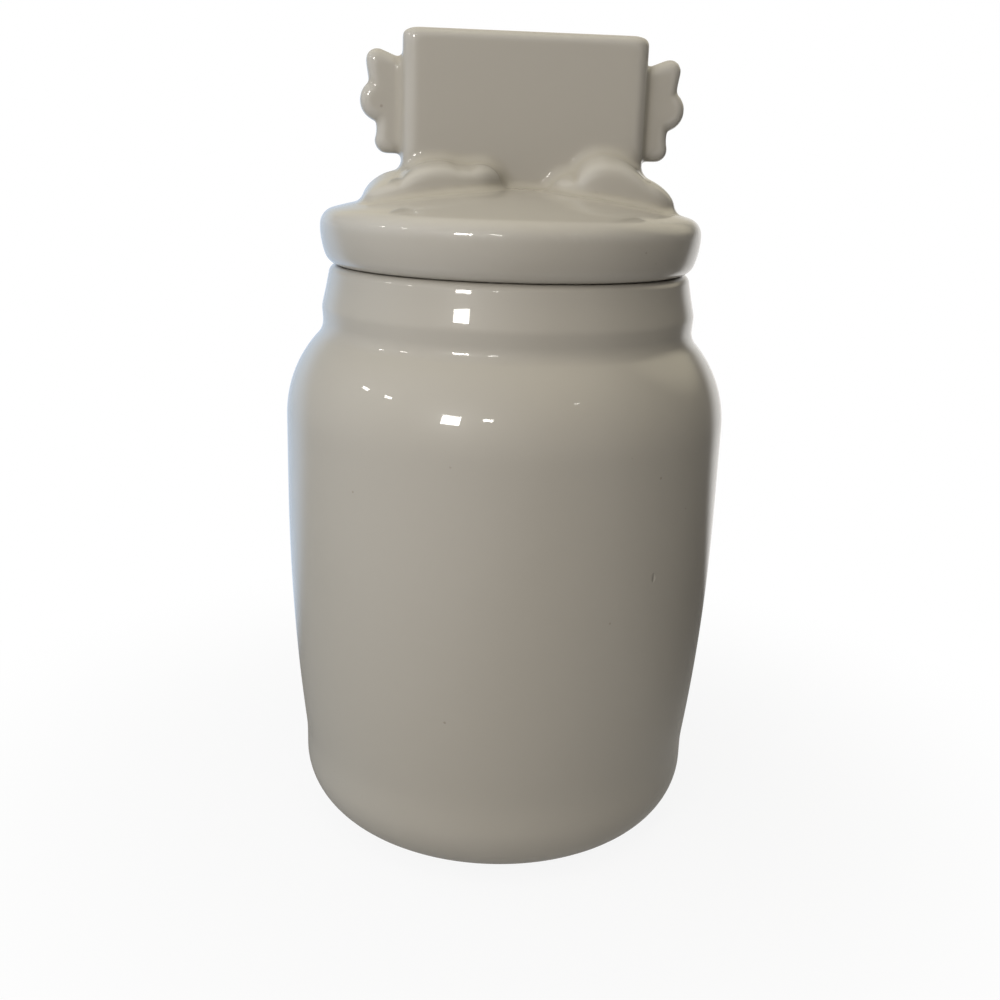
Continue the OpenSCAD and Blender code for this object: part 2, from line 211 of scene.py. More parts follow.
class RightCloudSizes(bpy.types.PropertyGroup):
    """Sizes of the right cloud and its puffs."""

    depth_in: length("Inner depth", 12.5, "Reach of its inner end past the tablet's faces")
    depth_out: length("Outer depth", 12.0, "Reach of its outer end past the tablet's faces")
    lean: share_of("Lean", 0.08, "Share of its depth that its front leans back by")
    inner: lengths("Inner puff", PUFF, -20.5, 13.0, 4.8, 10.8)
    middle: lengths("Middle puff", PUFF, -12.5, 12.5, 12.0, 17.0)
    outer: lengths("Outer puff", PUFF, -0.5, 12.5, 8.6, 10.0)


class GlazeLook(bpy.types.PropertyGroup):
    """Colours and build of the glaze."""

    glaze: colour("Glaze", 0.400, 0.372, 0.322, "Off-white glaze at its usual depth")
    # Painted crease shade: a darker glaze colour laid where the skin is hollow
    deep: colour("Deep glaze", 0.385, 0.355, 0.298, "Glaze where it pools in creases")
    # Painted highlight: a lighter glaze colour laid on rounded edges
    thin: colour("Thin glaze", 0.440, 0.415, 0.370, "Glaze where it breaks thin over edges")
    speck: colour("Speck", 0.130, 0.100, 0.070, "Iron specks under the glaze")
    clay: colour("Bare clay", 0.520, 0.450, 0.350, "Fired clay where no glaze lies")
    voxel: length("Skin grain", 0.88, "Size of the cells that the lid's skin is rebuilt from")
    wobble: length("Cast wobble", 0.10, "Unevenness of the cast walls")
    nick: lengths("Nick", "Place of a small nick in the jar's wall", 46.0, -65.3, 112.8)
    tablet_slip: length("Tablet slip", 3.4, "How far the slip softens the joins of tablet and clouds")
    dome_slip: length("Dome slip", 1.8, "How far the slip softens the joins on the dome")
    wing_slip: length("Wing slip", 1.1, "How far the slip softens the wings' roots")


class StageLook(bpy.types.PropertyGroup):
    """Camera, floor and light."""

    distance: length("Camera distance", 422.6, "Level distance of the camera from the jar's axis")
    height: length("Camera height", 243.0, "Height of the camera above the table")
    pitch: angle("Camera pitch", 16.19, "How far the camera looks down")
    roll: angle("Camera roll", 1.9, "How far the camera is turned about its own line of sight")
    azimuth: angle("Camera azimuth", -5.0, "Place of the camera round the jar")
    yaw: angle("Camera yaw", 0.08, "How far the camera looks past the jar's axis")
    focal: FloatProperty(name="Focal length", description="Lens in millimetres", default=41.4, unit="CAMERA")
    ambient: colour("Room light", 0.155, 0.150, 0.150, "Even light from the whole room")
    floor: colour("Floor", 0.58, 0.58, 0.59, "Pale plain floor")


class CookieJarSettings(bpy.types.PropertyGroup):
    """All sizes and colours of the jar, the lid and the stage."""

    jar: PointerProperty(type=JarSizes)
    lid: PointerProperty(type=LidSizes)
    tablet: PointerProperty(type=TabletSizes)
    wing: PointerProperty(type=WingSizes)
    left_cloud: PointerProperty(type=LeftCloudSizes)
    right_cloud: PointerProperty(type=RightCloudSizes)
    glaze: PointerProperty(type=GlazeLook)
    stage: PointerProperty(type=StageLook)


def draw_wall(bm, start, heading, legs):
    """Draws a wall's outline in the X-Z plane, leg by leg from a start.

    A leg is a straight run (length, 0) or a bend (radius, turn), where a positive turn is to
    the left. A heading of 0 points outwards from the axis and a quarter turn points up.
    """
    tip = bm.verts.new((start[0], 0.0, start[1]))
    for size, turn in legs:
        if turn:
            side = copysign(1.0, turn)
            centre = tip.co + side * size * Vector((-sin(heading), 0.0, cos(heading)))
            steps = max(2, ceil(abs(turn) / TURN_STEP), ceil(abs(turn) * size / RUN_STEP))
            axis = (0.0, -side, 0.0)
            bend = bmesh.ops.spin(bm, geom=[tip], cent=centre, axis=axis, angle=abs(turn), steps=steps)
            tip = bend["geom_last"][0]
            heading += turn
        else:
            steps = max(1, ceil(size / RUN_STEP))
            step = size / steps * Vector((cos(heading), 0.0, sin(heading)))
            for _ in range(steps):
                tip = bmesh.ops.extrude_vert_indiv(bm, verts=[tip])["verts"][0]
                bmesh.ops.translate(bm, verts=[tip], vec=step)


def turn_on_wheel(bm):
    """Spins the drawn outline once round the jar's axis and closes its poles."""
    outline = bm.verts[:] + bm.edges[:]
    axis = {"cent": (0.0, 0.0, 0.0), "axis": (0.0, 0.0, 1.0)}
    bmesh.ops.spin(bm, geom=outline, angle=tau, steps=WHEEL_STEPS, use_merge=True, **axis)
    bmesh.ops.remove_doubles(bm, verts=bm.verts[:], dist=SAME_POINT)
    bmesh.ops.recalc_face_normals(bm, faces=bm.faces[:])


def new_object(bm, name):
    """Puts a bmesh into a new smooth-shaded object at the origin."""
    mesh = bpy.data.meshes.new(name)
    bm.to_mesh(mesh)
    bm.free()
    mesh.shade_smooth()
    made = bpy.data.objects.new(name, mesh)
    bpy.context.scene.collection.objects.link(made)
    return made


def round_edges(bm, edges, radius, segments):
    """Rounds edges to a radius."""
    bmesh.ops.bevel(
        bm, geom=edges, offset=radius, segments=segments, profile=0.5, affect="EDGES", material=-1
    )


def mark_pooling(bm):
    """Keeps on each vertex how hollow the skin is there (above 0) or how rounded (below 0), from which the
    glaze colour paints shade and highlight.
    """
    layer = bm.verts.layers.float.new(HOLLOWNESS_LAYER)
    # Radius of a crease that counts fully, passes that even the measure out, and least square of a spacing
    reach, passes, least = 0.004, 4, 1e-10
    bend = {}
    for vert in bm.verts:
        ring = [edge.other_vert(vert).co for edge in vert.link_edges]
        middle = sum(ring, Vector()) / len(ring)
        spacing = sum((p - vert.co).length_squared for p in ring) / len(ring)
        # Four times the ring's offset over its square size is the sum of both curvatures
        bend[vert] = reach * 4.0 * (middle - vert.co).dot(vert.normal) / max(spacing, least)
    for _ in range(passes):
        mean = {
            vert: sum(bend[edge.other_vert(vert)] for edge in vert.link_edges) / len(vert.link_edges)
            for vert in bend
        }
        bend = {vert: 0.5 * value + 0.5 * mean[vert] for vert, value in bend.items()}
    for vert, value in bend.items():
        vert[layer] = max(-1.0, min(1.0, value))


def jar_legs(jar):
    """Outline of the vessel from the middle of its underside, up its outside, down its inside."""
    body_r = jar.body_d / 2.0
    foot_r = body_r - jar.heel_draw_in - jar.heel_r
    taper_lean = 2.0 * atan(jar.heel_draw_in / jar.taper_h)
    belly_r = jar.taper_h / sin(taper_lean) - jar.waist_r
    neck_r = body_r - jar.shoulder_step
    mouth_r = neck_r - jar.rim_wall
    low, high = jar.band_low_lean, jar.band_high_lean
    over = high + jar.band_hollow
    hollow_r = 0.06
    low_run = (jar.band_low_h - jar.ridge_r * sin(low)) / cos(low)
    over_h = jar.ridge_r * sin(over) + jar.band_foot_h * cos(over)
    over_h += hollow_r * (sin(over) - sin(high))
    high_run = (jar.band_high_h - over_h - jar.rim_edge_r * (1.0 - sin(high))) / cos(high)
    low_out = low_run * sin(low) + jar.ridge_r * (1.0 - cos(low))
    bends = jar.shoulder_r + jar.neck_root_r
    step_in = jar.shoulder_step + low_out + jar.neck_root_r * (1.0 - cos(low))
    shoulder_turn = acos(1.0 - step_in / bends)
    mouth_turn = acos(1.0 - (body_r - jar.wall - mouth_r) / bends)
    shoulder_h = bends * sin(shoulder_turn) + jar.neck_root_r * sin(low)
    mouth_run = shoulder_h + jar.band_low_h + jar.band_high_h - bends * sin(mouth_turn) - jar.mouth_edge_r
    over_in = jar.ridge_r * (1.0 - cos(over)) + jar.band_foot_h * sin(over)
    over_in += hollow_r * (cos(high) - cos(over))
    rim_out_r = neck_r - over_in - high_run * sin(high) - jar.rim_edge_r * cos(high)
    ramp = radians(45.0)
    soft = jar.foot_edge_r * tan(ramp / 2.0)
    underside = [
        (foot_r - jar.foot_w - jar.foot_recess - soft, 0.0),
        (jar.foot_edge_r, -ramp),
        (jar.foot_recess / sin(ramp) - 2.0 * soft, 0.0),
        (jar.foot_edge_r, ramp),
        (jar.foot_w - soft, 0.0),
    ]
    outside = [
        (jar.heel_r, QUARTER),
        (jar.heel_band_h, 0.0),
        (jar.waist_r, -taper_lean),
        (belly_r, taper_lean),
        (jar.straight_h, 0.0),
        (jar.shoulder_r, shoulder_turn),
        (jar.neck_root_r, -shoulder_turn - low),
        (low_run, 0.0),
        (jar.ridge_r, low + over),
        (jar.band_foot_h, 0.0),
        (hollow_r, high - over),
        (high_run, 0.0),
        (jar.rim_edge_r, QUARTER - high),
        (rim_out_r - mouth_r - jar.mouth_edge_r, 0.0),
    ]
    inside = [
        (jar.mouth_edge_r, QUARTER),
        (mouth_run, 0.0),
        (jar.neck_root_r + jar.wall, mouth_turn),
        (jar.shoulder_r - jar.wall, -mouth_turn),
        (jar.straight_h, 0.0),
        (belly_r - jar.wall, -taper_lean),
        (jar.waist_r + jar.wall, taper_lean),
        (jar.heel_band_h - jar.floor_h + jar.wall, 0.0),
        (jar.heel_r - jar.wall, -QUARTER),
        (foot_r, 0.0),
    ]
    return underside + outside + inside


def lid_legs(lid, jar):
    """Outline of the lid from the middle of its ceiling, round the collar, to the top of the dome."""
    neck_r = jar.body_d / 2.0 - jar.shoulder_step
    lid_r = neck_r + lid.overhang
    low, high, slope = lid.low_lean, lid.high_lean, lid.dome_slope
    seat_out_r = lid_r - lid.side_r * (1.0 - cos(low)) - lid.edge_r * cos(low)
    crown_out_r = lid_r - lid.side_r * (1.0 - cos(high))
    dome_r = (crown_out_r - lid.crown_r * (cos(high) - sin(slope))) / sin(slope)
    dome_centre_z = DOME_TOP_Z - dome_r
    ceiling_r = dome_r - lid.wall
    collar_out_r = neck_r - jar.rim_wall - lid.collar_clearance
    collar_in_r = collar_out_r - lid.collar_wall
    tip_r = lid.collar_wall / 2.0
    hollow_x = collar_in_r - lid.hollow_r
    hollow_rise = sqrt((ceiling_r - lid.hollow_r) ** 2 - hollow_x**2)
    hollow_turn = atan2(hollow_rise, hollow_x)
    legs = [
        (ceiling_r, hollow_turn - QUARTER),
        (lid.hollow_r, -hollow_turn),
        (dome_centre_z + hollow_rise - (RIM_Z - lid.collar_depth + tip_r), 0.0),
        (tip_r, pi),
        (lid.collar_depth - tip_r - lid.collar_root_r, 0.0),
        (lid.collar_root_r, -QUARTER),
        (seat_out_r - collar_out_r - lid.collar_root_r, 0.0),
        (lid.edge_r, QUARTER - low),
        (lid.side_r, low + high),
        (lid.crown_r, QUARTER - high - slope),
        (dome_r, slope),
    ]
    return legs, dome_r


class COOKIEJAR_OT_jar(bpy.types.Operator):
    """Model the cast vessel: foot ring, heel, body, shoulder, neck band and rim"""

    bl_idname = "cookie_jar.jar"
    bl_label = "Cast Jar"

    def execute(self, context):
        settings = context.scene.cookie_jar
        bm = bmesh.new()
        draw_wall(bm, (0.0, settings.jar.foot_recess), 0.0, jar_legs(settings.jar))
        turn_on_wheel(bm)
        self.unevenness(bm, settings)
        mark_pooling(bm)
        piece = new_object(bm, JAR_PIECE)
        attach(piece, "jar")
        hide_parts("jar")
        return {"FINISHED"}

    @staticmethod
    def unevenness(bm, settings):
        """Waves the cast wall a little, but not the foot and the rim that other things rest on."""
        long_wave, short_wave, short_share, fade = 0.055, 0.022, 0.25, 0.012
        bm.normal_update()
        shift = {}
        for vert in bm.verts:
            free = min(1.0, max(0.0, vert.co.z / fade), max(0.0, (RIM_Z - vert.co.z) / fade))
            wave = noise.noise(vert.co / long_wave) + short_share * noise.noise(vert.co / short_wave)
            shift[vert] = settings.glaze.wobble * free * wave * vert.normal
        for vert, move in shift.items():
            vert.co += move


class COOKIEJAR_OT_lid_dome(bpy.types.Operator):
    """Model the lid's dome with its thick rim, its hollow and its locating collar"""

    bl_idname = "cookie_jar.lid_dome"
    bl_label = "Cast Lid Dome"

    def execute(self, context):
        settings = context.scene.cookie_jar
        legs, _ = lid_legs(settings.lid, settings.jar)
        bm = bmesh.new()
        draw_wall(bm, (0.0, DOME_TOP_Z - settings.lid.wall), 0.0, legs)
        turn_on_wheel(bm)
        new_object(bm, DOME_FORM)
        return {"FINISHED"}


class COOKIEJAR_OT_tablet(bpy.types.Operator):
    """Model the upright tablet as a slab with rounded edges"""

    bl_idname = "cookie_jar.tablet"
    bl_label = "Press Tablet"

    segments = 10

    def execute(self, context):
        sizes = context.scene.cookie_jar.tablet
        low = DOME_TOP_Z - sizes.root
        high = TABLET_TOP_Z
        bm = bmesh.new()
        bmesh.ops.create_cube(bm, size=1.0)
        bmesh.ops.scale(bm, verts=bm.verts[:], vec=(sizes.width, sizes.thickness, high - low))
        bmesh.ops.translate(bm, verts=bm.verts[:], vec=(sizes.shift, 0.0, (low + high) / 2.0))
        edges = [edge for edge in bm.edges if max(v.co.z for v in edge.verts) > (low + high) / 2.0]
        round_edges(bm, edges, sizes.edge_r, self.segments)
        for vert in bm.verts:
            below = high - vert.co.z
            if below <= sizes.edge_r + SAME_POINT:
                vert.co.z = high - below * sizes.top_r / sizes.edge_r
        new_object(bm, TABLET_FORM)
        return {"FINISHED"}


class COOKIEJAR_OT_wings(bpy.types.Operator):
    """Model the two wings, each a flat palm with three rounded feathers"""

    bl_idname = "cookie_jar.wings"
    bl_label = "Press Wings"

    segments = 6
    disc_sides = 64
    # Facets that turn less than this are one, and faces whose normal lies this much along Y are flat
    same_facet = radians(0.5)
    flat = 0.9

    def execute(self, context):
        settings = context.scene.cookie_jar
        wing = settings.wing
        palm_foot = (wing.palm[0], wing.palm[2], wing.palm[2])
        plates = [(palm_foot, wing.palm), (wing.top_root, wing.top_heel, wing.top_tip)]
        plates += [((0.0, *feather[1:]), feather) for feather in (wing.middle, wing.bottom)]
        for name, side in SIDES.items():
            bm = bmesh.new()
            for discs in plates:
                plate = self.plate(settings, side, discs)
                bm.from_mesh(plate)
                bpy.data.meshes.remove(plate)
            new_object(bm, WING_FORM.format(name))
        return {"FINISHED"}

    def plate(self, settings, side, discs):
        """Makes a flat plate: the hull of discs on edge, with its rims rounded."""
        wing, tablet = settings.wing, settings.tablet
        bm = bmesh.new()
        for out, up, r in discs:
            x = tablet.shift + side * (tablet.width / 2.0 + out)
            middle = Matrix.Translation((x, 0.0, DOME_TOP_Z + wing.lift + up))
            on_edge = middle @ Matrix.Rotation(QUARTER, 4, "X")
            size = {"radius1": r, "radius2": r, "depth": wing.thickness}
            bmesh.ops.create_cone(bm, cap_ends=True, segments=self.disc_sides, matrix=on_edge, **size)
        bmesh.ops.delete(bm, geom=bm.edges[:], context="EDGES_FACES")
        hull = bmesh.ops.convex_hull(bm, input=bm.verts[:])
        spare = [g for g in hull["geom_interior"] if isinstance(g, bmesh.types.BMVert)]
        bmesh.ops.delete(bm, geom=spare, context="VERTS")
        bmesh.ops.dissolve_limit(bm, angle_limit=self.same_facet, verts=bm.verts[:], edges=bm.edges[:])
        bmesh.ops.recalc_face_normals(bm, faces=bm.faces[:])
        rims = [edge for edge in bm.edges if self.is_rim(edge)]
        round_edges(bm, rims, min(wing.edge_r, wing.thickness / 2.0), self.segments)
        mesh = bpy.data.meshes.new("plate")
        bm.to_mesh(mesh)
        bm.free()
        return mesh

    def is_rim(self, edge):
        """Whether an edge runs between a plate's flat face and its side."""
        flats = [abs(face.normal.y) > self.flat for face in edge.link_faces]
        return sorted(flats) == [False, True]


class COOKIEJAR_OT_clouds(bpy.types.Operator):
    """Model the two clouds, each a lump that swells to three puffs on the dome"""

    bl_idname = "cookie_jar.clouds"
    bl_label = "Model Clouds"

    stations = 96
    ring = 72
    # Powers of the blend between neighbouring puffs, of the lump's section and of its outline from above
    blend = 3.0
    square = 8.0
    plan_square = 4.0
    # How far a lump reaches down under the dome
    root = 0.003

    def execute(self, context):
        settings = context.scene.cookie_jar
        clouds = {"left": settings.left_cloud, "right": settings.right_cloud}
        for name, side in SIDES.items():
            bm = bmesh.new()
            self.lump(bm, settings, side, clouds[name])
            new_object(bm, CLOUD_FORM.format(name))
        return {"FINISHED"}

    def heights(self, puffs, x):
        """Heights of ridge and top at a place along the cloud: a blend of its puffs' round outlines."""
        totals = [0.0, 0.0]
        for place, half_length, *highs in puffs:
            share = sqrt(max(0.0, 1.0 - ((x - place) / half_length) ** 2))
            totals = [total + (high * share) ** self.blend for total, high in zip(totals, highs)]
        return [total ** (1.0 / self.blend) for total in totals]

    def flattened(self, value):
        """Sine or cosine drawn out to the section's power."""
        return copysign(abs(value) ** (2.0 / self.square), value)

    def lump(self, bm, settings, side, cloud):
        """Adds a ball that lies along the tablet, shaped to the puffs and draped on the dome.

        Its section has a steep front up to a ridge, then a slope up to its top.
        """
        tablet = settings.tablet
        dome_r = lid_legs(settings.lid, settings.jar)[1]
        puffs = [tuple(sizes) for sizes in (cloud.inner, cloud.middle, cloud.outer)]
        low = min(place - half_length for place, half_length, *_ in puffs)
        high = max(place + half_length for place, half_length, *_ in puffs)
        mean_depth = (cloud.depth_in + cloud.depth_out) / 2.0
        depth_gain = (cloud.depth_out - cloud.depth_in) / 2.0
        along = Matrix.Rotation(QUARTER, 4, "Y")
        steps = {"u_segments": self.ring, "v_segments": self.stations}
        bmesh.ops.create_uvsphere(bm, radius=1.0, matrix=along, **steps)
        for vert in bm.verts:
            share, around = vert.co.x, atan2(vert.co.z, vert.co.y)
            x = (low + high) / 2.0 + (high - low) / 2.0 * share
            depth = mean_depth + depth_gain * share + tablet.thickness / 2.0
            depth *= max(0.0, 1.0 - abs(share) ** self.plan_square) ** (1.0 / self.plan_square)
            out, up = self.flattened(cos(around)), self.flattened(sin(around))
            y = depth * out * (1.0 - cloud.lean * max(0.0, up))
            ridge, top = self.heights(puffs, x)
            if up > 0.0:
                rise = ridge * up + (top - ridge) * (1.0 - abs(out))
            else:
                rise = min(self.root, ridge) * up
            lid_x = tablet.shift + side * (tablet.width / 2.0 + x)
            dome_z = DOME_TOP_Z - dome_r + sqrt(dome_r**2 - lid_x**2 - y**2)
            vert.co = (lid_x, y, dome_z + rise)
        bmesh.ops.recalc_face_normals(bm, faces=bm.faces[:])


class COOKIEJAR_OT_lute_lid(bpy.types.Operator):
    """Lute the dome, tablet, wings and clouds into one skin and soften the joins with slip"""

    bl_idname = "cookie_jar.lute_lid"
    bl_label = "Lute Lid"

    # Shares of the slip's reach and how often what lies within is smoothed
    slip_passes = ((1.5, 5), (1.0, 7), (0.7, 12), (0.4, 16))
    skin_passes = 4
    smoothing = 0.5

    def execute(self, context):
        look = context.scene.cookie_jar.glaze
        forms = {DOME_FORM: look.dome_slip, TABLET_FORM: look.tablet_slip}
        for name in SIDES:
            forms[WING_FORM.format(name)] = look.wing_slip
            forms[CLOUD_FORM.format(name)] = look.tablet_slip
        skin = self.one_skin(forms, look.voxel)
        bm = bmesh.new()
        bm.from_mesh(skin.data)
        self.settle(bm, forms)
        bm.normal_update()
        mark_pooling(bm)
        bm.to_mesh(skin.data)
        bm.free()
        skin.data.shade_smooth()
        for form in forms:
            bpy.data.objects.remove(bpy.data.objects[form])
        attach(skin, "lid")
        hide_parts("lid", "tablet", "left_wing", "right_wing", "left_cloud", "right_cloud")
        return {"FINISHED"}

    @staticmethod
    def one_skin(forms, voxel):
        """Joins the forms and rebuilds them as one closed skin."""
        bm = bmesh.new()
        for form in forms:
            bm.from_mesh(bpy.data.objects[form].data)
        skin = new_object(bm, LID_PIECE)
        rebuild = skin.modifiers.new("One skin", "REMESH")
        rebuild.mode = "VOXEL"
        rebuild.voxel_size = voxel
        rebuilt = bpy.data.meshes.new_from_object(skin.evaluated_get(bpy.context.evaluated_depsgraph_get()))
        skin.modifiers.clear()
        skin.data = rebuilt
        rebuilt.name = LID_PIECE
        return skin

    def settle(self, bm, forms):
        """Lays the skin back onto the forms, then smooths it where two forms meet.

        The lesser of the two forms' slips is how far the slip reaches from their join.
        """
        trees = []
        for form, slip in forms.items():
            shape = bmesh.new()
            shape.from_mesh(bpy.data.objects[form].data)
            trees.append((BVHTree.FromBMesh(shape), slip))
            shape.free()
        reach = self.slip_passes[0][0] * max(forms.values())
        shares = {}
        for vert in bm.verts:
            hits = [(*tree.find_nearest(vert.co, reach), slip) for tree, slip in trees]
            hits = sorted((hit for hit in hits if hit[0] is not None), key=lambda hit: hit[3])
            spot, *_, own_slip = hits[0]
            shares[vert] = min((gap / min(slip, own_slip) for *_, gap, slip in hits[1:]), default=inf)
            vert.co = spot
        for share, passes in self.slip_passes:
            near = [vert for vert, own_share in shares.items() if own_share < share]
            self.smooth(bm, near, passes)
        self.smooth(bm, bm.verts[:], self.skin_passes)

    def smooth(self, bm, verts, passes):
        """Evens out some of the skin."""
        axes = {f"use_axis_{axis}": True for axis in "xyz"}
        for _ in range(passes):
            bmesh.ops.smooth_vert(bm, verts=verts, factor=self.smoothing, **axes)


def feed(tree, socket, value):
    """Links an output to an input, or sets the input to a plain value."""
    if isinstance(value, bpy.types.NodeSocket):
        tree.links.new(value, socket)
    else:
        socket.default_value = value


def add_node(tree, kind, inputs=None, **settings):
    """Adds a node, sets its properties, and sets or links its inputs."""
    made = tree.nodes.new(kind)
    for name, value in settings.items():
        setattr(made, name, value)
    for key, value in (inputs or {}).items():
        feed(tree, made.inputs[key], value)
    return made


def math_node(tree, operation, *values):
    """Adds a Math node and returns its output."""
    return add_node(tree, "ShaderNodeMath", dict(enumerate(values)), operation=operation).outputs[0]


def vector_node(tree, operation, *values, output="Vector"):
    """Adds a Vector Math node and returns its vector, or its value if that is asked for."""
    made = add_node(tree, "ShaderNodeVectorMath", dict(enumerate(values)), operation=operation)
    return made.outputs[output]


def noise_node(tree, place, scale, detail, roughness=0.5):
    """Adds a Noise Texture and returns its value."""
    inputs = {"Vector": place, "Scale": scale, "Detail": detail, "Roughness": roughness}
    return add_node(tree, "ShaderNodeTexNoise", inputs).outputs["Fac"]


def band(tree, value, start, end, low=0.0, high=1.0):
    """A value that goes smoothly from low at start to high at end."""
    inputs = {"Value": value, "From Min": start, "From Max": end, "To Min": low, "To Max": high}
    made = add_node(tree, "ShaderNodeMapRange", inputs, interpolation_type="SMOOTHSTEP")
    return made.outputs["Result"]


def mix(tree, share, first, second, kind="Color"):
    """Mixes two colours, or two values where the kind is Float, and returns the result."""
    mixed = add_node(tree, "ShaderNodeMix", data_type="RGBA" if kind == "Color" else "FLOAT")
    sockets = {socket.identifier: socket for socket in (*mixed.inputs, *mixed.outputs)}
    for name, value in (("Factor_Float", share), (f"A_{kind}", first), (f"B_{kind}", second)):
        feed(tree, sockets[name], value)
    return sockets[f"Result_{kind}"]


def new_group(name, inputs, outputs):
    """Starts a shader node group and returns it with the sockets that it starts and ends with."""
    tree = bpy.data.node_groups.new(name, "ShaderNodeTree")
    for way, sockets in (("INPUT", inputs), ("OUTPUT", outputs)):
        for socket, kind in sockets.items():
            tree.interface.new_socket(name=socket, in_out=way, socket_type="NodeSocket" + kind)
    start, end = tree.nodes.new("NodeGroupInput"), tree.nodes.new("NodeGroupOutput")
    return tree, start.outputs, end.inputs


def emptied(owner):
    """Clears the nodes of a new material or world and returns its node tree."""
    owner.use_nodes = True
    owner.node_tree.nodes.clear()
    return owner.node_tree


def speck_group():
    """Scattered dots: a mask of round dots, of which only a share of the cells holds one."""
    least, spread, core = 0.05, 0.16, 0.45
    inputs = {"Vector": "Vector", "Per Metre": "Float", "Share": "Float"}
    tree, start, end = new_group("Kiln Specks", inputs, {"Mask": "Float"})
    inputs = {"Vector": start["Vector"], "Scale": start["Per Metre"]}
    cells = add_node(tree, "ShaderNodeTexVoronoi", inputs).outputs
    pick = add_node(tree, "ShaderNodeSeparateColor", {"Color": cells["Color"]}).outputs
    held = math_node(tree, "LESS_THAN", pick["Red"], start["Share"])
    size = math_node(tree, "MULTIPLY_ADD", pick["Green"], spread, least)
    dot = band(tree, cells["Distance"], size, math_node(tree, "MULTIPLY", size, core))
    feed(tree, end["Mask"], math_node(tree, "MULTIPLY", dot, held))
    return tree


def depth_group():
    """Colour of the glaze: painted shade in creases, a painted highlight on edges, and a slow random drift
    of tone between.
    """
    # Ranges of hollowness over which the painted crease shade and the painted edge highlight come in
    sway, shade_range, highlight_range = 0.5, (0.10, 0.95), (-0.10, -0.90)
    roughness, roughness_sway = 0.32, 0.06
    inputs = {"Vector": "Vector", "Hollowness": "Float", "Glaze": "Color", "Deep": "Color", "Thin": "Color"}
    outputs = {"Colour": "Color", "Roughness": "Float"}
    tree, start, end = new_group("Glaze Painted Shade", inputs, outputs)
    drift = noise_node(tree, start["Vector"], scale=16.0, detail=3.0, roughness=0.45)
    uneven = math_node(tree, "MULTIPLY_ADD", drift, sway, -sway / 2.0)
    level = math_node(tree, "ADD", start["Hollowness"], uneven)
    # Painted crease shade where the skin is hollow
    body = mix(tree, band(tree, level, *shade_range), start["Glaze"], start["Deep"])
    # Painted edge highlight where the skin is rounded
    feed(tree, end["Colour"], mix(tree, band(tree, level, *highlight_range), body, start["Thin"]))
    feed(tree, end["Roughness"], math_node(tree, "MULTIPLY_ADD", drift, roughness_sway, roughness))
    return tree


def skin_group():
    """Height of the fired glaze: a long slow flow, a fine orange skin and a few pinholes."""
    peel_share, hole_depth = 0.03, 1.5
    inputs = {"Vector": "Vector", "Pinholes": "Float"}
    tree, start, end = new_group("Glaze Skin", inputs, {"Height": "Float"})
    flow = noise_node(tree, start["Vector"], scale=60.0, detail=1.0)
    peel = noise_node(tree, start["Vector"], scale=420.0, detail=1.0)
    waves = math_node(tree, "MULTIPLY_ADD", peel, peel_share, flow)
    holes = math_node(tree, "MULTIPLY", start["Pinholes"], -hole_depth)
    feed(tree, end["Height"], math_node(tree, "ADD", waves, holes))
    return tree


def clay_group():
    """Fired clay without glaze: a dry body, finely pitted with darker grain."""
    dusk, roughness, roughness_grain = 0.72, 0.7, 0.2
    inputs = {"Vector": "Vector", "Clay": "Color"}
    tree, start, end = new_group("Bare Clay", inputs, {"Colour": "Color", "Roughness": "Float"})
    grain = noise_node(tree, start["Vector"], scale=900.0, detail=4.0, roughness=0.7)
    inputs = {"Value": dusk, "Color": start["Clay"]}
    darker = add_node(tree, "ShaderNodeHueSaturation", inputs).outputs["Color"]
    feed(tree, end["Colour"], mix(tree, grain, start["Clay"], darker))
    feed(tree, end["Roughness"], math_node(tree, "MULTIPLY_ADD", grain, roughness_grain, roughness))
    return tree


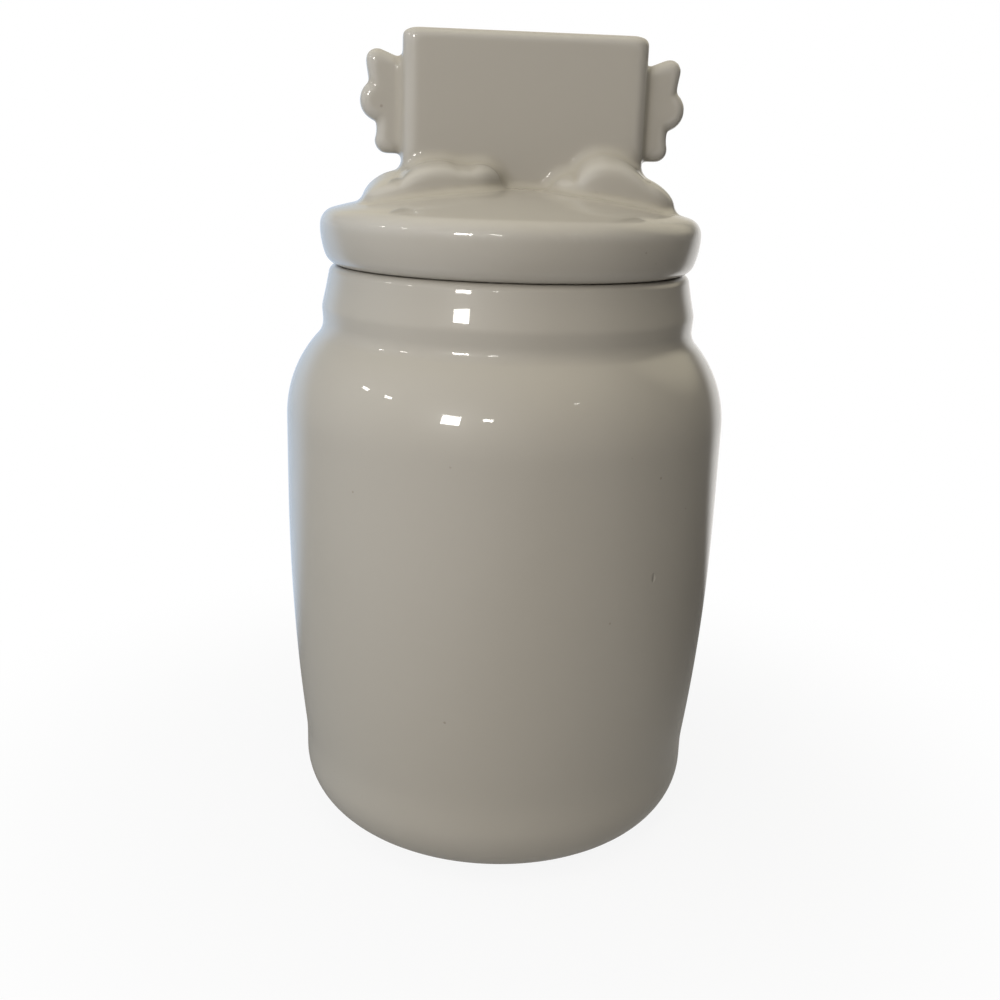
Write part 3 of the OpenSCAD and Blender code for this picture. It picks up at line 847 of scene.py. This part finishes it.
class COOKIEJAR_OT_glaze(bpy.types.Operator):
    """Glaze the jar and the lid, leaving the foot ring and the two seats bare"""

    bl_idname = "cookie_jar.glaze"
    bl_label = "Glaze"

    # Cells per metre and the share of them that holds a dot
    specks = {"Per Metre": 260.0, "Share": 0.020}
    pinholes = {"Per Metre": 150.0, "Share": 0.010}
    speck_strength = 0.35
    # Strength and depth of the skin's bumps
    skin = {"Strength": 0.12, "Distance": 0.0006}
    gloss = {"Specular IOR Level": 0.25, "Coat Roughness": 0.035, "Coat IOR": 1.5}

    def execute(self, context):
        settings = context.scene.cookie_jar
        groups = dict(specks=speck_group(), depth=depth_group(), skin=skin_group(), clay=clay_group())
        jar, lid = settings.jar, settings.lid
        neck_r = jar.body_d / 2.0 - jar.shoulder_step
        seat_r = (neck_r - jar.rim_wall + jar.mouth_edge_r, neck_r - 2.0 * jar.rim_edge_r)
        lid_seat_r = (neck_r - jar.rim_wall - lid.collar_clearance + lid.collar_root_r, seat_r[1])
        foot_r = jar.body_d / 2.0 - jar.heel_draw_in - jar.heel_r
        bare_jar = [(RIM_Z, *seat_r), (0.0, foot_r - jar.foot_w, foot_r)]
        bare_lid = [(RIM_Z, *lid_seat_r)]
        for piece, bare, nick in ((JAR_PIECE, bare_jar, settings.glaze.nick), (LID_PIECE, bare_lid, None)):
            finish = self.finish(piece + "_finish", settings.glaze, groups, bare, nick)
            mesh = bpy.data.objects[piece].data
            mesh.materials.clear()
            mesh.materials.append(finish)
        return {"FINISHED"}

    @staticmethod
    def bare_rings(tree, place, rings):
        """Mask of flat rings, each at a height and between two radii, that the glaze leaves bare."""
        depth, blur = 0.0004, 0.0005
        place_z = add_node(tree, "ShaderNodeSeparateXYZ", {"Vector": place}).outputs["Z"]
        flat = vector_node(tree, "MULTIPLY", place, (1.0, 1.0, 0.0))
        radius = vector_node(tree, "LENGTH", flat, output="Value")
        total = 0.0
        for height, inner, outer in rings:
            gap = math_node(tree, "ABSOLUTE", math_node(tree, "SUBTRACT", place_z, height))
            level = band(tree, gap, depth, depth / 2.0)
            past_inner = band(tree, radius, inner - blur, inner + blur)
            within_outer = band(tree, radius, outer + blur, outer - blur)
            ring = math_node(tree, "MULTIPLY", past_inner, within_outer)
            total = math_node(tree, "MAXIMUM", total, math_node(tree, "MULTIPLY", level, ring))
        return total

    @staticmethod
    def dented(tree, place, nick, normal):
        """Bends the normal at a small upright dent in the wall."""
        half_width, depth, narrow = 0.0010, 0.0004, (1.0, 1.0, 0.5)
        away = vector_node(tree, "SUBTRACT", place, tuple(nick))
        drawn = vector_node(tree, "MULTIPLY", away, narrow)
        dent = band(tree, vector_node(tree, "LENGTH", drawn, output="Value"), half_width, 0.0)
        inputs = {"Strength": 1.0, "Distance": depth, "Height": dent, "Normal": normal}
        return add_node(tree, "ShaderNodeBump", inputs, invert=True).outputs["Normal"]

    def finish(self, name, look, groups, rings, nick):
        """Glossy off-white glaze over fired clay."""
        material = bpy.data.materials.new(name)
        material.use_nodes = True
        tree = material.node_tree
        place = add_node(tree, "ShaderNodeTexCoord").outputs["Object"]
        # Hollowness of the skin, which paints shade in creases and a highlight on edges
        skin_bend = add_node(tree, "ShaderNodeAttribute", attribute_name=HOLLOWNESS_LAYER).outputs["Fac"]

        def effect(group, inputs):
            """Adds one of the shared groups and returns its outputs."""
            inputs = {"Vector": place, **inputs}
            return add_node(tree, "ShaderNodeGroup", inputs, node_tree=groups[group]).outputs

        # Glaze colour with painted crease shade, a painted edge highlight and a slow random drift of tone
        depth = effect("depth", {"Hollowness": skin_bend, "Glaze": look.glaze, "Deep": look.deep, "Thin": look.thin})
        specks = effect("specks", self.specks)["Mask"]
        skin = effect("skin", {"Pinholes": effect("specks", self.pinholes)["Mask"]})
        clay = effect("clay", {"Clay": look.clay})
        bare = self.bare_rings(tree, place, rings)
        speck_share = math_node(tree, "MULTIPLY", specks, self.speck_strength)
        glazed = mix(tree, speck_share, depth["Colour"], look.speck)
        bumps = add_node(tree, "ShaderNodeBump", {**self.skin, "Height": skin["Height"]})
        normal = bumps.outputs["Normal"]
        if nick is not None:
            normal = self.dented(tree, place, nick, normal)
        inputs = {
            **self.gloss,
            "Base Color": mix(tree, bare, glazed, clay["Colour"]),
            "Roughness": mix(tree, bare, depth["Roughness"], clay["Roughness"], "Float"),
            "Coat Weight": math_node(tree, "SUBTRACT", 1.0, bare),
            "Normal": normal,
        }
        shader = tree.nodes["Principled BSDF"]
        for socket, value in inputs.items():
            feed(tree, shader.inputs[socket], value)
        return material


class COOKIEJAR_OT_stage(bpy.types.Operator):
    """Set up the pale floor, the soft light and the camera"""

    bl_idname = "cookie_jar.stage"
    bl_label = "Set Stage"

    floor_half = 4.0
    # Share of plain white in what the camera sees of the floor, near the jar and farther out
    floor_white = (0.90, 1.0)
    floor_fade = (0.10, 0.28)
    aim_z = 0.17
    clip_start = 0.01
    # Lamps that the glaze mirrors: name, azimuth, elevation, distance, width, height, radiance, colour
    windows = (
        ("window", -32.0, 21.0, 1.20, 0.190, 0.160, 30.0, (1.0, 0.97, 0.92)),
        ("window_slit", -13.0, 23.5, 1.20, 0.100, 0.045, 26.0, (1.0, 0.97, 0.92)),
        ("side_slit_front", -71.0, 28.0, 1.20, 0.090, 0.035, 24.0, (1.0, 0.96, 0.90)),
        ("side_slit_back", -88.0, 27.0, 1.20, 0.090, 0.035, 22.0, (1.0, 0.96, 0.90)),
        ("far_slit", 36.0, 36.0, 1.20, 0.050, 0.020, 9.0, (1.0, 0.97, 0.92)),
    )
    # The same for the broad lamps, which only shade
    soft_lamps = (
        ("key", -45.0, 32.0, 1.50, 1.600, 1.400, 1.26, (1.0, 0.968, 0.955)),
        ("overhead", -20.0, 84.0, 1.40, 1.300, 1.300, 2.3, (0.985, 0.96, 0.82)),
        ("side_sky", -105.0, 12.0, 1.50, 1.600, 1.600, 1.30, (0.60, 0.78, 1.0)),
    )
    shell_r = 1.6
    shell_steps = (64, 32)
    shell_floor = 0.0005
    shell_shade = (0.30, 0.29, 0.28, 1.0)
    # What the glaze mirrors: azimuth, elevation, half angles where it is full and where it ends, colour
    shell_patches = (
        (0.0, -90.0, 60.0, 90.0, (0.25, 0.24, 0.22)),
        (-20.0, 80.0, 25.0, 65.0, (0.62, 0.58, 0.49)),
        (178.0, 26.0, 12.0, 45.0, (0.62, 0.57, 0.46)),
        (-45.0, 15.0, 20.0, 70.0, (0.65, 0.65, 0.66)),
        (100.0, 0.0, 25.0, 62.0, (0.06, 0.055, 0.05)),
        (-157.0, -14.0, 20.0, 40.0, (0.60, 0.71, 0.86)),
        (150.0, -11.0, 12.0, 28.0, (0.95, 0.93, 0.90)),
        (122.0, 34.0, 10.0, 28.0, (0.80, 0.73, 0.56)),
    )

    def execute(self, context):
        look = context.scene.cookie_jar.stage
        self.floor(look)
        self.mirrored_room()
        for lamp in self.windows:
            self.lamp(*lamp)
        for lamp in self.soft_lamps:
            self.lamp(*lamp).visible_glossy = False
        self.room(context.scene, look)
        self.camera(context.scene, look)
        context.scene.view_settings.view_transform = "Standard"
        return {"FINISHED"}

    def floor(self, look):
        """Pale floor that the camera sees almost white, with the jar's shadow on it."""
        bm = bmesh.new()
        bmesh.ops.create_grid(bm, x_segments=1, y_segments=1, size=self.floor_half)
        floor = new_object(bm, "floor")
        material = bpy.data.materials.new("pale_floor")
        tree = emptied(material)
        matt = add_node(tree, "ShaderNodeBsdfDiffuse", {"Color": look.floor})
        white = add_node(tree, "ShaderNodeEmission")
        place = add_node(tree, "ShaderNodeTexCoord").outputs["Object"]
        radius = vector_node(tree, "LENGTH", place, output="Value")
        fade = band(tree, radius, *self.floor_fade, *self.floor_white)
        share = math_node(tree, "MULTIPLY", self.seen_directly(tree), fade)
        inputs = {0: share, 1: matt.outputs[0], 2: white.outputs[0]}
        both = add_node(tree, "ShaderNodeMixShader", inputs)
        add_node(tree, "ShaderNodeOutputMaterial", {"Surface": both.outputs[0]})
        floor.data.materials.append(material)

    @staticmethod
    def seen_directly(tree):
        """1 for rays that show the background: from the camera, a mirror or glass."""
        path = add_node(tree, "ShaderNodeLightPath").outputs
        shiny = math_node(tree, "MAXIMUM", path["Is Glossy Ray"], path["Is Transmission Ray"])
        return math_node(tree, "MAXIMUM", path["Is Camera Ray"], shiny)

    @staticmethod
    def direction(azimuth, elevation):
        """Unit vector towards a place round the jar, in degrees: 0 is in front, 90 on the right."""
        around, above = radians(azimuth), radians(elevation)
        level = cos(above)
        return Vector((sin(around) * level, -cos(around) * level, sin(above)))

    def mirrored_room(self):
        """Shell of soft bright and dim patches round the jar, which only its glaze mirrors."""
        bm = bmesh.new()
        around, upward = self.shell_steps
        bmesh.ops.create_uvsphere(bm, u_segments=around, v_segments=upward, radius=self.shell_r)
        for vert in bm.verts:
            vert.co.z = max(vert.co.z, self.shell_floor)
        shell = new_object(bm, "mirrored_room")
        material = bpy.data.materials.new("mirrored_room")
        tree = emptied(material)
        place = add_node(tree, "ShaderNodeTexCoord").outputs["Object"]
        away = vector_node(tree, "SUBTRACT", place, (0.0, 0.0, self.aim_z))
        towards = vector_node(tree, "NORMALIZE", away)
        shade = self.shell_shade
        for azimuth, elevation, full, end, patch in self.shell_patches:
            middle = self.direction(azimuth, elevation)
            nearness = vector_node(tree, "DOT_PRODUCT", towards, middle, output="Value")
            share = band(tree, nearness, cos(radians(end)), cos(radians(full)))
            shade = mix(tree, share, shade, (*patch, 1.0))
        glow = add_node(tree, "ShaderNodeEmission", {"Color": shade})
        add_node(tree, "ShaderNodeOutputMaterial", {"Surface": glow.outputs[0]})
        shell.data.materials.append(material)
        for rays in ("camera", "diffuse", "transmission", "volume_scatter", "shadow"):
            setattr(shell, "visible_" + rays, False)

    def lamp(self, name, azimuth, elevation, distance, width, height, radiance, tint):
        """Rectangular lamp that faces the jar from a direction."""
        towards = self.direction(azimuth, elevation)
        light = bpy.data.lights.new(name, "AREA")
        light.shape = "RECTANGLE"
        light.size, light.size_y = width, height
        light.energy = radiance * pi * width * height
        light.color = tint
        lamp = bpy.data.objects.new(name, light)
        lamp.location = Vector((0.0, 0.0, self.aim_z)) + distance * towards
        lamp.rotation_euler = towards.to_track_quat("Z", "Y").to_euler()
        bpy.context.scene.collection.objects.link(lamp)
        return lamp

    def room(self, scene, look):
        """White behind the jar, and an even dim light from all round."""
        world = bpy.data.worlds.new("room")
        tree = emptied(world)
        dim = add_node(tree, "ShaderNodeBackground", {"Color": look.ambient})
        white = add_node(tree, "ShaderNodeBackground", {"Color": (1.0, 1.0, 1.0, 1.0)})
        inputs = {0: self.seen_directly(tree), 1: dim.outputs[0], 2: white.outputs[0]}
        both = add_node(tree, "ShaderNodeMixShader", inputs)
        add_node(tree, "ShaderNodeOutputWorld", {"Surface": both.outputs[0]})
        scene.world = world

    def camera(self, scene, look):
        """Camera at the photograph's place, slightly above the dome and looking down."""
        lens = bpy.data.cameras.new("camera")
        lens.lens = look.focal
        lens.clip_start = self.clip_start
        camera = bpy.data.objects.new("camera", lens)
        place = Matrix.Rotation(look.azimuth, 4, "Z") @ Vector((0.0, -look.distance, look.height))
        heading = Matrix.Rotation(look.azimuth + look.yaw, 4, "Z")
        tilt = Matrix.Rotation(QUARTER - look.pitch, 4, "X") @ Matrix.Rotation(look.roll, 4, "Z")
        camera.matrix_world = Matrix.Translation(place) @ heading @ tilt
        scene.collection.objects.link(camera)
        scene.camera = camera


STEPS = (
    COOKIEJAR_OT_jar,
    COOKIEJAR_OT_lid_dome,
    COOKIEJAR_OT_tablet,
    COOKIEJAR_OT_wings,
    COOKIEJAR_OT_clouds,
    COOKIEJAR_OT_lute_lid,
    COOKIEJAR_OT_glaze,
    COOKIEJAR_OT_stage,
)


class COOKIEJAR_PT_steps(bpy.types.Panel):
    """Lists the steps of making the jar in the sidebar"""

    bl_idname = "COOKIEJAR_PT_steps"
    bl_label = "Cookie Jar"
    bl_space_type = "VIEW_3D"
    bl_region_type = "UI"
    bl_category = "Cookie Jar"

    def draw(self, context):
        for step in STEPS:
            self.layout.operator(step.bl_idname)
        for group in CookieJarSettings.__annotations__:
            box = self.layout.box()
            box.label(text=group.replace("_", " ").title())
            sizes = getattr(context.scene.cookie_jar, group)
            for name in sizes.__annotations__:
                box.prop(sizes, name)


SIZES = (JarSizes, LidSizes, TabletSizes, WingSizes, LeftCloudSizes, RightCloudSizes)
CLASSES = (*SIZES, GlazeLook, StageLook, CookieJarSettings, *STEPS, COOKIEJAR_PT_steps)


def register():
    for cls in CLASSES:
        bpy.utils.register_class(cls)
    bpy.types.Scene.cookie_jar = PointerProperty(type=CookieJarSettings)


def unregister():
    del bpy.types.Scene.cookie_jar
    for cls in reversed(CLASSES):
        bpy.utils.unregister_class(cls)


def main():
    register()
    bpy.ops.cookie_jar.jar()
    bpy.ops.cookie_jar.lid_dome()
    bpy.ops.cookie_jar.tablet()
    bpy.ops.cookie_jar.wings()
    bpy.ops.cookie_jar.clouds()
    bpy.ops.cookie_jar.lute_lid()
    bpy.ops.cookie_jar.glaze()
    bpy.ops.cookie_jar.stage()


if __name__ == "__main__":
    main()
